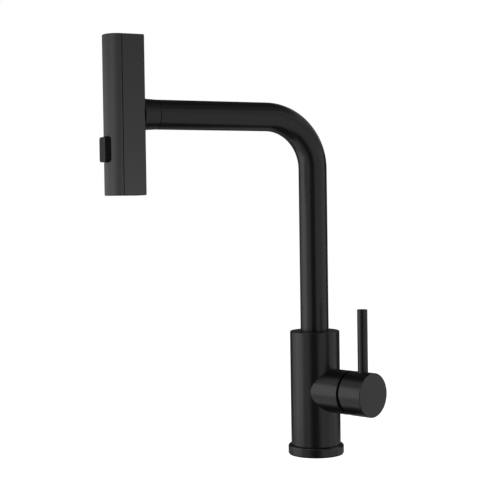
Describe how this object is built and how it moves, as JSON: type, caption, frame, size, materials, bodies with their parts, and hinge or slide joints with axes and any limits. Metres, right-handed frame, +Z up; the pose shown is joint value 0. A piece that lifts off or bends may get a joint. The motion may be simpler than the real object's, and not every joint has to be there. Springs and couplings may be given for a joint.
{
  "type": "pull-out kitchen faucet",
  "caption": "Side-lever kitchen faucet with a bent swivel spout, an upright bullet-section spray head that pulls out on a hose, a spray mode button and an under-deck clamp.",
  "frame": {"origin": "centre of the base's underside, on the deck's top face and on the riser's axis", "axes": "+Z up along the riser; -Y along the spout arm towards the spray head at rest; the handle points 21.4 degrees from +X towards +Y"},
  "size_m": [0.1058, 0.2685, 0.4712],
  "materials": {
    "black_coat": "matte black coating over fine brushed metal",
    "black_plastic": "satin black",
    "grey_plastic": "plain moulded",
    "brass": "machined",
    "steel": "machined",
    "rubber": "matte",
    "ceramic": "lapped ceramic",
    "hose": "woven nylon cover"
  },
  "bodies": {
    "body": {"base_ring": "black_coat", "base_gasket": "rubber", "valve_body": "black_coat", "threaded_shank": "brass", "deck_rubber_washer": "rubber", "deck_steel_washer": "steel", "deck_nut": "brass", "hot_inlet_nipple": "steel", "cold_inlet_nipple": "steel", "mixed_outlet_nipple": "steel", "cartridge_seal": "rubber", "cartridge_base": "grey_plastic", "cartridge_housing": "grey_plastic", "fixed_disc": "ceramic", "bonnet_nut": "brass", "bonnet_dome": "black_coat", "thrust_washer": "grey_plastic", "swivel_bush": "grey_plastic", "swivel_nut": "black_coat"},
    "mixing_core": {"moving_disc": "ceramic", "stem_carrier": "grey_plastic", "stem_pin": "steel"},
    "lever": {"cartridge_stem": "steel", "lever_hub": "black_coat", "lever_rod": "black_coat", "hub_set_screw": "steel", "hub_plug": "rubber"},
    "spout": {"spout_foot": "brass", "spout_tube": "black_coat", "docking_sleeve": "black_plastic", "dock_magnet": "steel", "hose_riser": "hose"},
    "head": {"hose_arm_run": "hose", "hose_fitting": "steel", "inlet_seal": "rubber", "head_collar": "black_coat", "magnet_keeper": "steel", "head_rear_shell": "black_coat", "head_front_shell": "black_coat", "head_chassis": "black_plastic", "chassis_screw_upper": "steel", "chassis_screw_lower": "steel", "check_valve": "grey_plastic", "spray_plate": "black_plastic", "nozzle_pad": "rubber", "aerator_housing": "black_plastic", "aerator_insert": "grey_plastic", "spool_gland": "brass"},
    "button": {"mode_button": "black_plastic", "diverter_spool": "grey_plastic"}
  },
  "joints": [
    {"name": "spout_swivel", "type": "hinge", "parent": "body", "child": "spout", "pos_m": [0, 0, 0.1], "axis": [0, 0, 1], "continuous": true},
    {"name": "head_pull", "type": "slide", "parent": "spout", "child": "head", "axis": [0, -1, 0], "range_m": [0, 0.1]},
    {"name": "mode_push", "type": "slide", "parent": "head", "child": "button", "axis": [0, 1, 0], "range_m": [0, 0.002], "stiffness_N_per_m": 600, "springref_m": -0.003},
    {"name": "lever_turn", "type": "hinge", "parent": "body", "child": "mixing_core", "pos_m": [0, 0, 0.0657], "axis": [0.9311, 0.3649, 0], "range_deg": [-45, 45]},
    {"name": "lever_lift", "type": "hinge", "parent": "mixing_core", "child": "lever", "pos_m": [0.03538, 0.01387, 0.0657], "axis": [-0.3649, 0.9311, 0], "range_deg": [0, 14]}
  ]
}
